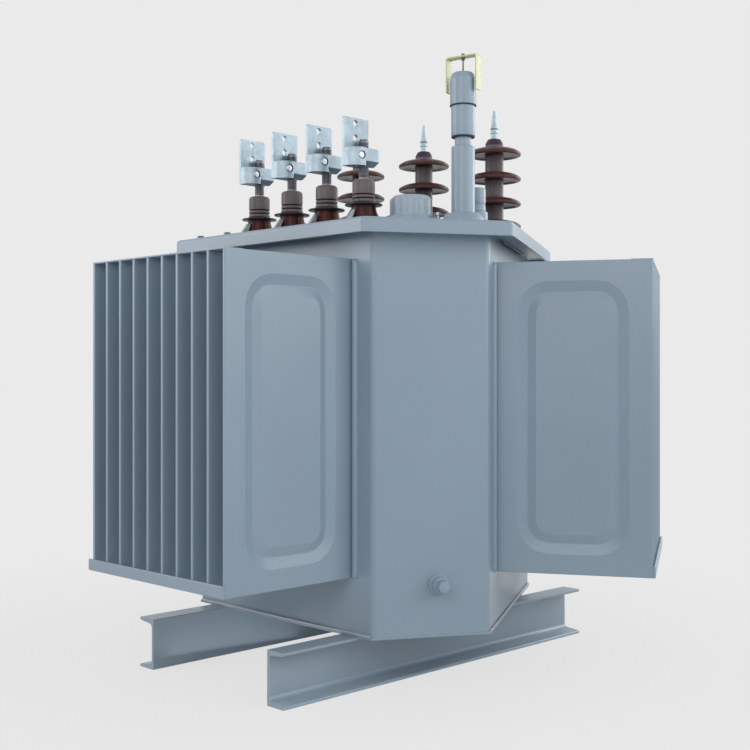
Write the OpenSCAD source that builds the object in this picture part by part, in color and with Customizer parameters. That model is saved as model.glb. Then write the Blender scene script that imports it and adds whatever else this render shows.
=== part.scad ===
// Oil-filled distribution transformer with a three-sided finned tank.
// The tank axis stands upright; the low-voltage side faces -Y and the floor is at Z = 0.

/* [Skids] */
// Height of the two channel skids
skid_h = 100; // [80:1:140]
// Width of a skid across its flanges
skid_flange = 46; // [40:1:60]
// Thickness of a skid's web
skid_web_t = 5.5; // [4:0.5:8]
// Thickness of a skid's flanges, half way along them
skid_flange_t = 8; // [5:0.5:12]
// Change of that thickness, more at the web and less at the tip
skid_taper = 2; // [0:0.25:3]
// Distance from the centre plane to the back of each skid's web
skid_web_x = 177; // [140:1:200]
// Reach of the skids in front of the tank axis
skid_front = 462; // [400:1:500]
// Reach of the skids behind the tank axis
skid_back = 415; // [370:1:440]

/* [Tank] */
// Distance from the tank axis to each finned face
tank_face_reach = 282; // [260:1:300]
// Distance from the tank axis to each plain corner face
tank_corner_reach = 368; // [350:1:390]
// Thickness of the tank's wall plates
tank_wall = 5; // [3:0.5:8]
// Height of the tank walls
tank_h = 759; // [720:1:860]
// Thickness of the base plate
base_t = 5; // [4:0.5:12]
// Lip of the base plate outside each finned face
base_lip = 3; // [1:0.5:10]

/* [Cooling fins] */
// Number of fins on each finned face
fin_count = 10; // [6:1:10]
// Distance from fin to fin
fin_pitch = 45.6; // [30:0.2:46]
// Depth of a fin, from the tank face to its tip
fin_depth = 298; // [150:1:340]
// Thickness of a fin
fin_t = 6.5; // [4:0.5:12]
// Height of a fin
fin_h = 595; // [400:1:620]
// Height of the fins' lower edge above the base plate
fin_lift = 104; // [60:1:110]
// Radius of the weld bead beside the end fins
bead_r = 7.5; // [4:0.5:10]
// Gap between the weld bead and the end fin
bead_gap = 0.3; // [0.2:0.1:0.8]
// Height of the tie bar across the fin tips
bar_h = 22; // [15:1:40]
// Thickness of the tie bar
bar_t = 5; // [3:0.5:10]
// Length of the tie bar past the end fins
bar_overrun = 7; // [2:0.5:15]

/* [Lid] */
// Thickness of the lid plate
lid_t = 6; // [4:0.5:12]
// Height of the lid's turned-down edge
lid_edge_h = 25; // [20:1:40]
// Thickness of the turned-down edge
lid_edge_t = 4; // [3:0.5:8]
// Overhang of the lid over each finned face
lid_face_lip = 49; // [40:1:60]
// Overhang of the lid over each corner face
lid_corner_lip = 45; // [36:1:60]
// Thickness of the tank's rim flange
rim_t = 10; // [6:0.5:14]
// Gap between the rim flange and the lid's edge
rim_gap = 1.5; // [0.5:0.1:4]

/* [Low-voltage terminals] */
// Number of low-voltage bushings
lv_count = 4; // [3:1:4]
// Distance from bushing to bushing
lv_pitch = 106.2; // [95:0.2:115]
// Distance of the row from the lid's front edge
lv_inset = 125.3; // [110:0.1:140]
// Radius of the porcelain foot
lv_foot_r = 31; // [26:0.5:36]
// Radius of the porcelain neck
lv_neck_r = 22; // [20:0.5:25]
// Height of the tapered foot
lv_foot_h = 45; // [30:1:60]
// Radius of the thin shed over the foot
lv_shed_r = 34; // [30:0.5:40]
// Thickness of the thin shed
lv_shed_t = 4; // [3:0.5:6]
// Height of the ringed neck
lv_neck_h = 21; // [16:1:30]
// Depth of the grooves round the neck
lv_groove = 2; // [1:0.1:3]
// Height of the smooth head
lv_head_h = 23; // [16:1:30]
// Radius of the terminal stud
lv_stud_r = 9.8; // [8:0.1:11]
// Height of the terminal stud
lv_stud_h = 80; // [76:1:95]

/* [Flag clamps] */
// Height of the clamp above the bushing
clamp_lift = 32; // [26:1:36]
// Height of the clamp block
clamp_h = 34; // [28:1:38]
// Half the width of the clamp block
clamp_half_w = 18; // [16:0.5:20]
// Reach of the clamp block in front of the stud
clamp_front = 40; // [36:1:46]
// Radius of the clamp's round back
clamp_back_r = 17; // [15:0.5:18]
// Reach of the clamp behind the stud
clamp_back = 28; // [24:1:32]
// Step from the block down to the round back
clamp_step = 2.5; // [1:0.5:4]
// Width of the slit between the clamp's ears
clamp_slit = 2.5; // [1:0.5:4]
// Gap between the stud and the clamp's bore
clamp_grip_gap = 0.2; // [0.1:0.05:0.5]
// Thickness of the flag plate
flag_t = 6; // [4:0.5:7]
// Reach of the flag plate behind the stud
flag_back = 25; // [20:1:28]
// Height of the flag plate above the block
flag_h = 57; // [54:1:70]
// Radius of a bolt hole in the flag plate
flag_hole_r = 6.5; // [4.5:0.5:7]
// Distance between the two bolt holes
flag_hole_pitch = 28; // [22:1:30]
// Height of the lower bolt hole above the block
flag_hole_lift = 18; // [12:1:20]
// Place of the bolt holes in front of the stud
flag_hole_front = 10; // [5:1:14]

/* [High-voltage terminals] */
// Number of high-voltage bushings
hv_count = 3; // [2:1:3]
// Distance from bushing to bushing
hv_pitch = 203.3; // [170:0.1:210]
// Distance of the row behind the low-voltage row
hv_row_gap = 342.8; // [320:0.2:360]
// Radius of the porcelain column
hv_column_r = 19.3; // [16:0.1:24]
// Radius of a shed
hv_shed_r = 56; // [45:1:62]
// Height of a shed's dome above its rim
hv_dome_h = 19; // [12:0.5:24]
// Thickness of a shed's rim
hv_rim_t = 4; // [3:0.5:6]
// Number of sheds on the column
hv_shed_count = 3; // [2:1:4]
// Distance from shed to shed
hv_shed_pitch = 53.5; // [44:0.5:64]
// Height of the base shed's rim above the lid
hv_base_lift = 32; // [24:1:40]
// Distance from the base shed to the first shed
hv_base_gap = 46; // [40:1:60]
// Radius of the bushing's foot ring
hv_foot_r = 44; // [40:1:50]
// Height of the bushing's foot ring
hv_foot_h = 12; // [8:1:16]
// Height of the domed cap above the top shed's rim
hv_cap_h = 30; // [26:1:36]
// Radius of the domed cap
hv_cap_r = 18; // [15:0.5:19]
// Radius of the terminal pin
pin_r = 7; // [5:0.5:9]
// Length of the terminal pin's straight part
pin_h = 18.5; // [14:0.5:26]
// Length of the terminal pin's tapered point
pin_point_h = 19; // [12:0.5:26]
// Radius of the two rings under the pin
pin_ring_r = 8.2; // [7.5:0.1:10]
// Thickness of each ring under the pin
pin_ring_t = 3.5; // [2:0.5:5]
// Height of the stem under the rings
pin_stem_h = 12; // [8:0.5:16]
// Radius of the stem under the rings
pin_stem_r = 6.5; // [4:0.5:7]

/* [Filler pipe and oil gauge] */
// Distance of the filler from the lid's corner edge
filler_inset = 97.8; // [90:0.2:105]
// Sideways place of the filler along that edge
filler_side = 79.4; // [75:0.2:85]
// Radius of the filler's foot flange
filler_foot_r = 41.5; // [36:0.5:44]
// Height of the filler's foot flange
filler_foot_h = 31; // [20:1:40]
// Radius of the filler pipe
filler_r = 21.5; // [18:0.5:24]
// Height of the filler pipe
filler_h = 124; // [100:1:150]
// Radius of the neck over the pipe
gauge_neck_r = 16; // [12:0.5:17]
// Height of the neck over the pipe
gauge_neck_h = 19; // [12:1:26]
// Radius of the gauge sleeve
gauge_sleeve_r = 22.2; // [19:0.1:24]
// Height of the gauge sleeve
gauge_sleeve_h = 60; // [45:1:75]
// Radius of the gauge cap
gauge_cap_r = 25; // [22:0.5:27]
// Height of the gauge cap
gauge_cap_h = 65; // [50:1:80]
// Radius of the cap's flat top
gauge_top_r = 15.5; // [10:0.5:18]
// Height of the cap's sloping shoulder
gauge_shoulder_h = 14; // [8:1:20]

/* [Relief yoke] */
// Width of the yoke across its legs
yoke_span = 73; // [64:1:84]
// Width of the yoke's strip
yoke_w = 13; // [8:0.5:18]
// Thickness of the yoke's strip
yoke_t = 3; // [2:0.5:4]
// Length of the yoke's legs
yoke_leg = 66; // [40:1:80]
// Turn of the yoke about the gauge, in degrees
yoke_turn = 17; // [0:1:45]
// Height of the yoke's crossbar above the cap
yoke_rise = 26; // [16:1:34]
// Radius of the rod that carries the yoke
rod_r = 1.6; // [1:0.1:2.5]
// Radius of the rod's collar and knob
rod_knob_r = 3.6; // [3:0.1:6]
// Height of the rod's collar and knob
rod_knob_h = 5; // [3:0.5:8]
// Gap between the rod and the crossbar's hole
rod_gap = 0.2; // [0.1:0.05:0.4]

/* [Tap changer cap] */
// Distance of the cap from the lid's corner edge
tap_inset = 152; // [140:1:160]
// Sideways place of the cap along that edge
tap_side = -8.5; // [-16:0.5:0]
// Radius of the cap
tap_r = 41.5; // [34:0.5:44]
// Height of the cap
tap_h = 68; // [50:1:80]
// Bevel round the cap's top edge
tap_bevel = 8; // [4:0.5:14]
// Number of grip grooves round the cap
tap_grooves = 10; // [6:1:14]
// Radius of a grip groove
tap_groove_r = 2.2; // [1:0.1:3]

/* [Thermometer pocket] */
// Distance of the pocket from the lid's corner edge
pocket_inset = 187; // [175:1:195]
// Sideways place of the pocket along that edge
pocket_side = 134; // [128:1:140]
// Radius of the pocket's foot
pocket_foot_r = 26.5; // [24:0.5:30]
// Height of the pocket's foot
pocket_foot_h = 43; // [30:1:50]
// Radius of the pocket's cap
pocket_r = 22.5; // [18:0.5:23]
// Height of the pocket's cap
pocket_h = 47; // [30:1:60]
// Bevel round the pocket's top edge
pocket_bevel = 3; // [1:0.5:6]

/* [Drain] */
// Height of the drain above the base plate
drain_lift = 94; // [60:1:140]
// Distance of the drain from the middle of its corner face
drain_side = 12; // [-40:1:40]
// Radius of the drain boss
drain_boss_r = 24; // [18:1:30]
// Length of the drain boss
drain_boss_h = 8; // [5:1:24]
// Radius of the socket on the drain boss
drain_socket_r = 17; // [14:0.5:18]
// Length of the socket on the drain boss
drain_socket_h = 16; // [8:1:24]
// Radius of the drain plug across its corners
drain_plug_r = 12; // [8:0.5:18]
// Length of the drain plug
drain_plug_h = 16; // [10:1:34]

/* [Hidden] */
$fn = 64;

paint = "#8b9ba8";
paint_light = "#b4c0c8";
porcelain = "#4b2d2a";
tinned = "#bed2dc";
dark_brass = "#5c5450";
pale_yellow = "#dcdc96";

// Overrun of every cut past the solid that it cuts
cut = 1;

// Turn from one side of the six-sided plan to the next, and of the first side
side_turn = 60;
first_turn = -90;

// Heights above the floor
base_top = skid_h + base_t;
fin_base = base_top + fin_lift;
wall_top = base_top + tank_h;
lid_top = wall_top + lid_t;
lv_head_top = lid_top + lv_foot_h + lv_shed_t + lv_neck_h + lv_head_h;
clamp_base = lv_head_top + clamp_lift;
hv_cap_base = lid_top + hv_base_lift + hv_base_gap + (hv_shed_count - 1) * hv_shed_pitch;
hv_cap_top = hv_cap_base + hv_cap_h;
filler_top = lid_top + filler_foot_h + filler_h;
gauge_neck_top = filler_top + gauge_neck_h;
gauge_sleeve_top = gauge_neck_top + gauge_sleeve_h;
gauge_cap_top = gauge_sleeve_top + gauge_cap_h;

// Lid and rim in plan
lid_face_reach = tank_face_reach + lid_face_lip;
lid_corner_reach = tank_corner_reach + lid_corner_lip;
rim_face_reach = lid_face_reach - lid_edge_t - rim_gap;
rim_corner_reach = lid_corner_reach - lid_edge_t - rim_gap;
lv_row_y = lv_inset - lid_face_reach;
hv_row_y = lv_row_y + hv_row_gap;

// Fin rows in plan
fin_row_half = (fin_count - 1) / 2 * fin_pitch;
bead_side = fin_row_half + fin_t / 2 + bead_gap + bead_r;
bar_half = fin_row_half + fin_t / 2 + bar_overrun;
bank_reach = tank_face_reach + fin_depth + bar_t;

// The tank axis lies behind the middle of the plan by half the difference of the two reaches
bank_back = bank_reach * cos(side_turn) + bar_half * sin(side_turn);
front_reach = max(bank_reach, skid_front, lid_face_reach);
back_reach = max(bank_back, skid_back, lid_corner_reach);
tank_y = (front_reach - back_reach) / 2;

// Outlines as shares of the sizes that they follow
lv_groove_shares = [0.3, 0.45, 0.65, 0.8];
hv_dome_shares = [[0.35, 0.93], [0.7, 0.68], [0.92, 0.36]];
hv_cap_shares = [[1, 0.62], [0.8, 0.85], [0.5, 1]];
pin_tip_share = 0.3;

// Direction of a side: even sides carry fins, odd sides are the plain corners
function side_angle(side) = first_turn + side * side_turn;
function side_reach(side, face, corner) = side % 2 == 0 ? face : corner;

// Corner where a side meets the next one
function plan_corner(side, face, corner) =
    let (
        angle = side_angle(side),
        reach = side_reach(side, face, corner),
        next_reach = side_reach(side + 1, face, corner),
        run = (next_reach - reach * cos(side_turn)) / sin(side_turn)
    )
    reach * [cos(angle), sin(angle)] + run * [-sin(angle), cos(angle)];

function plan_outline(face, corner) = [for (side = [0:5]) plan_corner(side, face, corner)];

// Place of one in a row of like pieces, counted from the left
function row_x(index, count, pitch) = (index - (count - 1) / 2) * pitch;

module at_tank() {
    translate([0, tank_y, 0]) children();
}

// Puts a piece on a side of the tank: local X is the outward normal, local Y runs along the side
module on_side(side) {
    at_tank() rotate([0, 0, side_angle(side)]) children();
}

// Puts a piece on the lid, placed from the front right corner's edge
module on_lid_corner(inset, along) {
    on_side(1) translate([lid_corner_reach - inset, along, lid_top]) children();
}

module skid(hand) {
    root_t = skid_flange_t + skid_taper;
    tip_t = skid_flange_t - skid_taper;
    color(paint) at_tank() mirror([hand < 0 ? 1 : 0, 0, 0])
        translate([skid_web_x, skid_back, 0]) rotate([90, 0, 0])
            linear_extrude(height = skid_front + skid_back) polygon([
                [0, 0], [skid_flange, 0], [skid_flange, tip_t],
                [skid_web_t, root_t], [skid_web_t, skid_h - root_t],
                [skid_flange, skid_h - tip_t], [skid_flange, skid_h], [0, skid_h]
            ]);
}

module base_plate() {
    color(paint_light) at_tank() translate([0, 0, skid_h])
        linear_extrude(height = base_t)
            polygon(plan_outline(tank_face_reach + base_lip, tank_corner_reach));
}

// One flat plate of the tank wall, mitred against its neighbours
module wall_plate(side) {
    before = (side + 5) % 6;
    face_in = tank_face_reach - tank_wall;
    corner_in = tank_corner_reach - tank_wall;
    at_tank() translate([0, 0, base_top]) linear_extrude(height = tank_h)
        polygon([
            plan_corner(before, tank_face_reach, tank_corner_reach),
            plan_corner(side, tank_face_reach, tank_corner_reach),
            plan_corner(side, face_in, corner_in),
            plan_corner(before, face_in, corner_in)
        ]);
}

// Half-round weld bead that closes the folded fin sheet at the wall
module seam_bead(side, hand) {
    root = tank_wall / 2;
    on_side(side) translate([tank_face_reach, hand * bead_side, fin_base])
        intersection() {
            cylinder(r = bead_r, h = fin_h);
            translate([-root, -bead_r, 0]) cube([root + bead_r, 2 * bead_r, fin_h]);
        }
}

module finned_wall(side) {
    color(paint) union() {
        wall_plate(side);
        for (hand = [-1, 1]) seam_bead(side, hand);
    }
}

module corner_wall(side) {
    color(paint) wall_plate(side);
}

module fin_bank(side) {
    color(paint) on_side(side) for (index = [0:fin_count - 1])
        translate([tank_face_reach, row_x(index, fin_count, fin_pitch) - fin_t / 2, fin_base])
            cube([fin_depth, fin_t, fin_h]);
}

module fin_bar(side) {
    color(paint) on_side(side) translate([tank_face_reach + fin_depth, -bar_half, fin_base])
        cube([bar_t, 2 * bar_half, bar_h]);
}

module rim_flange() {
    color(paint) at_tank() translate([0, 0, wall_top - rim_t]) linear_extrude(height = rim_t)
        difference() {
            polygon(plan_outline(rim_face_reach, rim_corner_reach));
            polygon(plan_outline(tank_face_reach, tank_corner_reach));
        }
}

module lid() {
    color(paint_light) at_tank() translate([0, 0, lid_top - lid_edge_h]) difference() {
        linear_extrude(height = lid_edge_h) polygon(plan_outline(lid_face_reach, lid_corner_reach));
        translate([0, 0, -cut]) linear_extrude(height = lid_edge_h - lid_t + cut)
            polygon(plan_outline(lid_face_reach - lid_edge_t, lid_corner_reach - lid_edge_t));
    }
}

module at_lv(index) {
    at_tank() translate([row_x(index, lv_count, lv_pitch), lv_row_y, 0]) children();
}

module lv_bushing(index) {
    shed_z = lv_foot_h + lv_shed_t;
    neck_z = shed_z + lv_neck_h;
    groove_r = lv_neck_r - lv_groove;
    g = [for (share = lv_groove_shares) shed_z + share * lv_neck_h];
    color(porcelain) at_lv(index) translate([0, 0, lid_top]) rotate_extrude() polygon([
        [0, 0], [lv_foot_r, 0], [lv_neck_r, lv_foot_h], [lv_shed_r, lv_foot_h],
        [lv_shed_r, lv_foot_h + lv_shed_t / 2], [lv_neck_r, shed_z],
        [lv_neck_r, g[0]], [groove_r, g[0]], [groove_r, g[1]], [lv_neck_r, g[1]],
        [lv_neck_r, g[2]], [groove_r, g[2]], [groove_r, g[3]], [lv_neck_r, g[3]],
        [lv_neck_r, neck_z + lv_head_h - lv_groove],
        [groove_r, neck_z + lv_head_h], [0, neck_z + lv_head_h]
    ]);
}

module lv_stud(index) {
    color(dark_brass) at_lv(index) translate([0, 0, lv_head_top]) cylinder(r = lv_stud_r, h = lv_stud_h);
}

module flag_plate() {
    hole_z = clamp_h + flag_hole_lift;
    translate([-clamp_half_w, -clamp_front, 0]) difference() {
        cube([flag_t, clamp_front + flag_back, clamp_h + flag_h]);
        for (z = [hole_z, hole_z + flag_hole_pitch])
            translate([-cut, clamp_front - flag_hole_front, z]) rotate([0, 90, 0])
                cylinder(r = flag_hole_r, h = flag_t + 2 * cut);
    }
}

module lv_clamp(index) {
    ear_back = lv_stud_r;
    round_y = clamp_back - clamp_back_r;
    round_h = clamp_h - 2 * clamp_step;
    color(tinned) at_lv(index) translate([0, 0, clamp_base]) difference() {
        union() {
            translate([-clamp_half_w, -clamp_front, 0])
                cube([2 * clamp_half_w, clamp_front - ear_back, clamp_h]);
            translate([-clamp_back_r, -ear_back, clamp_step])
                cube([2 * clamp_back_r, ear_back + round_y, round_h]);
            translate([0, round_y, clamp_step]) cylinder(r = clamp_back_r, h = round_h);
            flag_plate();
        }
        translate([0, 0, -cut]) cylinder(r = lv_stud_r + clamp_grip_gap, h = clamp_h + 2 * cut);
        translate([-clamp_slit / 2, -clamp_front - cut, -cut])
            cube([clamp_slit, clamp_front + cut, clamp_h + 2 * cut]);
    }
}

module at_hv(index) {
    at_tank() translate([row_x(index, hv_count, hv_pitch), hv_row_y, lid_top]) children();
}

// Outline of one shed from its underside to the top of its dome
function shed_outline(rim_z) = concat(
    [[hv_column_r, rim_z], [hv_shed_r, rim_z], [hv_shed_r, rim_z + hv_rim_t]],
    [for (i = [len(hv_dome_shares) - 1:-1:0])
        [hv_column_r + hv_dome_shares[i][0] * (hv_shed_r - hv_column_r),
         rim_z + hv_rim_t + hv_dome_shares[i][1] * (hv_dome_h - hv_rim_t)]],
    [[hv_column_r, rim_z + hv_dome_h]]
);

module hv_bushing(index) {
    first_z = hv_base_lift + hv_base_gap;
    shed_z = concat([hv_base_lift], [for (i = [0:hv_shed_count - 1]) first_z + i * hv_shed_pitch]);
    cap_base = shed_z[hv_shed_count] + hv_dome_h;
    cap_top = shed_z[hv_shed_count] + hv_cap_h;
    color(porcelain) at_hv(index) rotate_extrude() polygon(concat(
        [[0, 0], [hv_foot_r, 0], [hv_foot_r, hv_foot_h], [hv_column_r, hv_foot_h]],
        [for (z = shed_z) each shed_outline(z)],
        [for (share = hv_cap_shares)
            [hv_cap_r * share[0], cap_base + share[1] * (cap_top - cap_base)]],
        [[0, cap_top]]
    ));
}

module hv_terminal(index) {
    ring_z = [pin_stem_h, pin_stem_h + 2 * pin_ring_t];
    pin_base = ring_z[1] + pin_ring_t;
    pin_top = pin_base + pin_h;
    tip_r = pin_r * pin_tip_share;
    color(tinned) at_hv(index) translate([0, 0, hv_cap_top - lid_top]) {
        cylinder(r = pin_stem_r, h = pin_base);
        for (z = ring_z) translate([0, 0, z]) cylinder(r = pin_ring_r, h = pin_ring_t);
        translate([0, 0, pin_base]) cylinder(r = pin_r, h = pin_h);
        translate([0, 0, pin_top]) cylinder(r1 = pin_r, r2 = tip_r, h = pin_point_h);
    }
}

module at_filler(height) {
    on_lid_corner(filler_inset, filler_side) translate([0, 0, height - lid_top]) children();
}

module filler_pipe() {
    color(paint) at_filler(lid_top) {
        cylinder(r = filler_foot_r, h = filler_foot_h);
        cylinder(r = filler_r, h = filler_foot_h + filler_h);
        cylinder(r = gauge_neck_r, h = filler_foot_h + filler_h + gauge_neck_h);
    }
}

module gauge_sleeve() {
    color(paint) at_filler(gauge_neck_top) cylinder(r = gauge_sleeve_r, h = gauge_sleeve_h);
}

module gauge_cap() {
    color(paint) at_filler(gauge_sleeve_top) rotate_extrude() polygon([
        [0, 0], [gauge_cap_r, 0], [gauge_cap_r, gauge_cap_h - gauge_shoulder_h],
        [gauge_top_r, gauge_cap_h], [0, gauge_cap_h]
    ]);
}

// Rod with a collar under the crossbar and a knob over it
module gauge_rod() {
    knob_z = yoke_rise + yoke_t;
    color(dark_brass) at_filler(gauge_cap_top) {
        cylinder(r = rod_r, h = knob_z + rod_knob_h);
        for (z = [yoke_rise - rod_knob_h, knob_z])
            translate([0, 0, z]) cylinder(r = rod_knob_r, h = rod_knob_h);
    }
}

module relief_yoke() {
    leg_top = yoke_rise + yoke_t;
    color(pale_yellow) at_filler(gauge_cap_top) rotate([0, 0, yoke_turn - side_angle(1)]) difference() {
        translate([-yoke_span / 2, -yoke_w / 2, leg_top - yoke_leg]) difference() {
            cube([yoke_span, yoke_w, yoke_leg]);
            translate([yoke_t, -cut, -cut])
                cube([yoke_span - 2 * yoke_t, yoke_w + 2 * cut, yoke_leg - yoke_t + cut]);
        }
        translate([0, 0, yoke_rise - cut]) cylinder(r = rod_r + rod_gap, h = yoke_t + 2 * cut);
    }
}

module tap_changer_cap() {
    color(paint) on_lid_corner(tap_inset, tap_side) difference() {
        rotate_extrude() polygon([
            [0, 0], [tap_r, 0], [tap_r, tap_h - tap_bevel], [tap_r - tap_bevel, tap_h], [0, tap_h]
        ]);
        for (index = [0:tap_grooves - 1]) rotate([0, 0, index * 360 / tap_grooves])
            translate([tap_r, 0, tap_bevel]) cylinder(r = tap_groove_r, h = tap_h);
    }
}

module thermometer_pocket() {
    pocket_top = pocket_foot_h + pocket_h;
    color(paint) on_lid_corner(pocket_inset, pocket_side) rotate_extrude() polygon([
        [0, 0], [pocket_foot_r, 0], [pocket_foot_r, pocket_foot_h], [pocket_r, pocket_foot_h],
        [pocket_r, pocket_top - pocket_bevel], [pocket_r - pocket_bevel, pocket_top], [0, pocket_top]
    ]);
}

module at_drain(reach) {
    on_side(1) translate([tank_corner_reach + reach, drain_side, base_top + drain_lift])
        rotate([0, 90, 0]) children();
}

module drain_boss() {
    color(paint) at_drain(0) {
        cylinder(r = drain_boss_r, h = drain_boss_h);
        cylinder(r = drain_socket_r, h = drain_boss_h + drain_socket_h);
    }
}

module drain_plug() {
    color(paint) at_drain(drain_boss_h + drain_socket_h)
        cylinder(r = drain_plug_r, h = drain_plug_h, $fn = 6);
}

skid(-1);  // skid_left
skid(1);  // skid_right
base_plate();
finned_wall(0);  // front_wall
finned_wall(2);  // right_wall
finned_wall(4);  // left_wall
corner_wall(1);  // front_right_corner
corner_wall(3);  // back_corner
corner_wall(5);  // front_left_corner
fin_bank(0);  // front_fins
fin_bank(2);  // right_fins
fin_bank(4);  // left_fins
fin_bar(0);  // front_fin_bar
fin_bar(2);  // right_fin_bar
fin_bar(4);  // left_fin_bar
rim_flange();
lid();
lv_bushing(0);  // lv_bushing_1
lv_bushing(1);  // lv_bushing_2
lv_bushing(2);  // lv_bushing_3
lv_bushing(3);  // lv_bushing_4
lv_stud(0);  // lv_stud_1
lv_stud(1);  // lv_stud_2
lv_stud(2);  // lv_stud_3
lv_stud(3);  // lv_stud_4
lv_clamp(0);  // lv_clamp_1
lv_clamp(1);  // lv_clamp_2
lv_clamp(2);  // lv_clamp_3
lv_clamp(3);  // lv_clamp_4
hv_bushing(0);  // hv_bushing_1
hv_bushing(1);  // hv_bushing_2
hv_bushing(2);  // hv_bushing_3
hv_terminal(0);  // hv_terminal_1
hv_terminal(1);  // hv_terminal_2
hv_terminal(2);  // hv_terminal_3
filler_pipe();
gauge_sleeve();
gauge_cap();
gauge_rod();
relief_yoke();
tap_changer_cap();
thermometer_pocket();
drain_boss();
drain_plug();
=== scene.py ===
from math import atan2, cos, pi, radians, sin, tan

import bpy
from mathutils import Matrix, Vector


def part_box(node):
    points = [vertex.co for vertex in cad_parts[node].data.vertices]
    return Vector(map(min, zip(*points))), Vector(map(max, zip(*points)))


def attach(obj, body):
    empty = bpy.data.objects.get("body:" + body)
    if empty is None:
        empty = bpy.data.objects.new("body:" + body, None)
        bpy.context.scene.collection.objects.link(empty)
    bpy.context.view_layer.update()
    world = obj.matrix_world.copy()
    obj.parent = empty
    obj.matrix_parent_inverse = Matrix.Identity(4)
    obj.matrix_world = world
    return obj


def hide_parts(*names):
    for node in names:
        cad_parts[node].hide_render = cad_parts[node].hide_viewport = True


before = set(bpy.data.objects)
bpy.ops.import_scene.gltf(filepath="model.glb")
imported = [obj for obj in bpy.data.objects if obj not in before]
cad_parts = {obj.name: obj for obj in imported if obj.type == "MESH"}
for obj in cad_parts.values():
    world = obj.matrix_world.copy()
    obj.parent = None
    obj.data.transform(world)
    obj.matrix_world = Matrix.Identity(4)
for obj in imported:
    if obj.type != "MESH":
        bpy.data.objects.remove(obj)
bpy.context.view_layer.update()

# Skids
# Two rolled steel channels carry the tank, webs towards each other and flanges outwards.
# Each is one rolled length with tapered flanges, sawn square at both ends.
skid_web_t = 0.0055
skid_root_t = 0.010
skid_tip_t = 0.006
skid_fillet_r = 0.009
skid_toe_r = 0.004
skid_edge_r = 0.0012
cloud_low = 0.3
cloud_high = 0.7


def rounded(corners, steps=5, closed=True):
    """An outline from corners that each give two places and a radius."""
    points = []
    last = len(corners) - 1
    for i, (a, b, radius) in enumerate(corners):
        here = Vector((a, b))
        if radius == 0 or (not closed and i in (0, last)):
            points.append(here)
            continue
        back = (Vector(corners[i - 1][:2]) - here).normalized()
        ahead = (Vector(corners[(i + 1) % (last + 1)][:2]) - here).normalized()
        half = back.angle(ahead) / 2
        middle = here + (back + ahead).normalized() * (radius / sin(half))
        start = here + back * (radius / tan(half)) - middle
        end = here + ahead * (radius / tan(half)) - middle
        first = atan2(start.y, start.x)
        sweep = (atan2(end.y, end.x) - first + pi) % (2 * pi) - pi
        for step in range(steps + 1):
            angle = first + sweep * step / steps
            points.append(middle + radius * Vector((cos(angle), sin(angle))))
    return points


def cut_sheet(name, points):
    """A flat sheet cut to an outline: a disc whose rim points are moved to their places."""
    bpy.ops.mesh.primitive_circle_add(vertices=len(points), radius=1, fill_type="NGON")
    piece = bpy.context.object
    piece.name = piece.data.name = name
    for vertex, point in zip(piece.data.vertices, points):
        vertex.co = point
    return piece


def thicken(piece, move):
    """Draws a flat sheet out into a solid bar or plate."""
    bpy.ops.object.mode_set(mode="EDIT")
    bpy.ops.mesh.select_all(action="SELECT")
    bpy.ops.mesh.extrude_region_move(TRANSFORM_OT_translate={"value": move})
    bpy.ops.mesh.select_all(action="SELECT")
    bpy.ops.mesh.normals_make_consistent(inside=False)
    bpy.ops.object.mode_set(mode="OBJECT")
    return piece


def choose(piece):
    """Makes a piece the one that the next tool works on."""
    bpy.ops.object.select_all(action="DESELECT")
    piece.select_set(True)
    bpy.context.view_layer.objects.active = piece


def apply_modifier(piece, kind, **settings):
    """Adds one modifier to a piece and applies it."""
    choose(piece)
    modifier = piece.modifiers.new(kind.title(), kind)
    for key, value in settings.items():
        setattr(modifier, key, value)
    bpy.ops.object.modifier_apply(modifier=modifier.name)


def ease_edges(piece, width, angle=35):
    """Takes the sharpness off every edge that turns by more than the angle."""
    apply_modifier(
        piece, "BEVEL", width=width, segments=2, limit_method="ANGLE", angle_limit=radians(angle)
    )


def fit(piece, finish, slot, *nodes, flat=False, angle=35):
    """Gives a finished piece its material, its shading, its body and the solids that it stands for."""
    piece.data.materials.clear()
    piece.data.materials.append(finish)
    choose(piece)
    bpy.ops.object.shade_smooth_by_angle(angle=radians(angle))
    if flat:
        apply_modifier(piece, "WEIGHTED_NORMAL", keep_sharp=True)
    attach(piece, "root")
    if nodes:
        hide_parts(*nodes)


def shade(red, green, blue):
    """A colour as a screen shows it, from 0 to 255, as the shader takes it."""
    parts = [value / 255 for value in (red, green, blue)]
    return tuple(p / 12.92 if p <= 0.04045 else ((p + 0.055) / 1.055) ** 2.4 for p in parts) + (1.0,)


def new_finish(name):
    """A new material with its shader and its Object coordinates."""
    finish = bpy.data.materials.new(name)
    finish.use_nodes = True
    nodes = finish.node_tree.nodes
    return finish, nodes["Principled BSDF"], nodes.new("ShaderNodeTexCoord").outputs["Object"]


def mottle(finish, coordinates, scale, detail=3.0, stretch=None):
    """A cloudy pattern over the piece, drawn out along an axis where stretch is given."""
    tree = finish.node_tree
    if stretch:
        mapping = tree.nodes.new("ShaderNodeMapping")
        mapping.inputs["Scale"].default_value = stretch
        tree.links.new(coordinates, mapping.inputs["Vector"])
        coordinates = mapping.outputs["Vector"]
    noise = tree.nodes.new("ShaderNodeTexNoise")
    noise.inputs["Scale"].default_value = scale
    noise.inputs["Detail"].default_value = detail
    tree.links.new(coordinates, noise.inputs["Vector"])
    return noise.outputs["Fac"]


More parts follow.
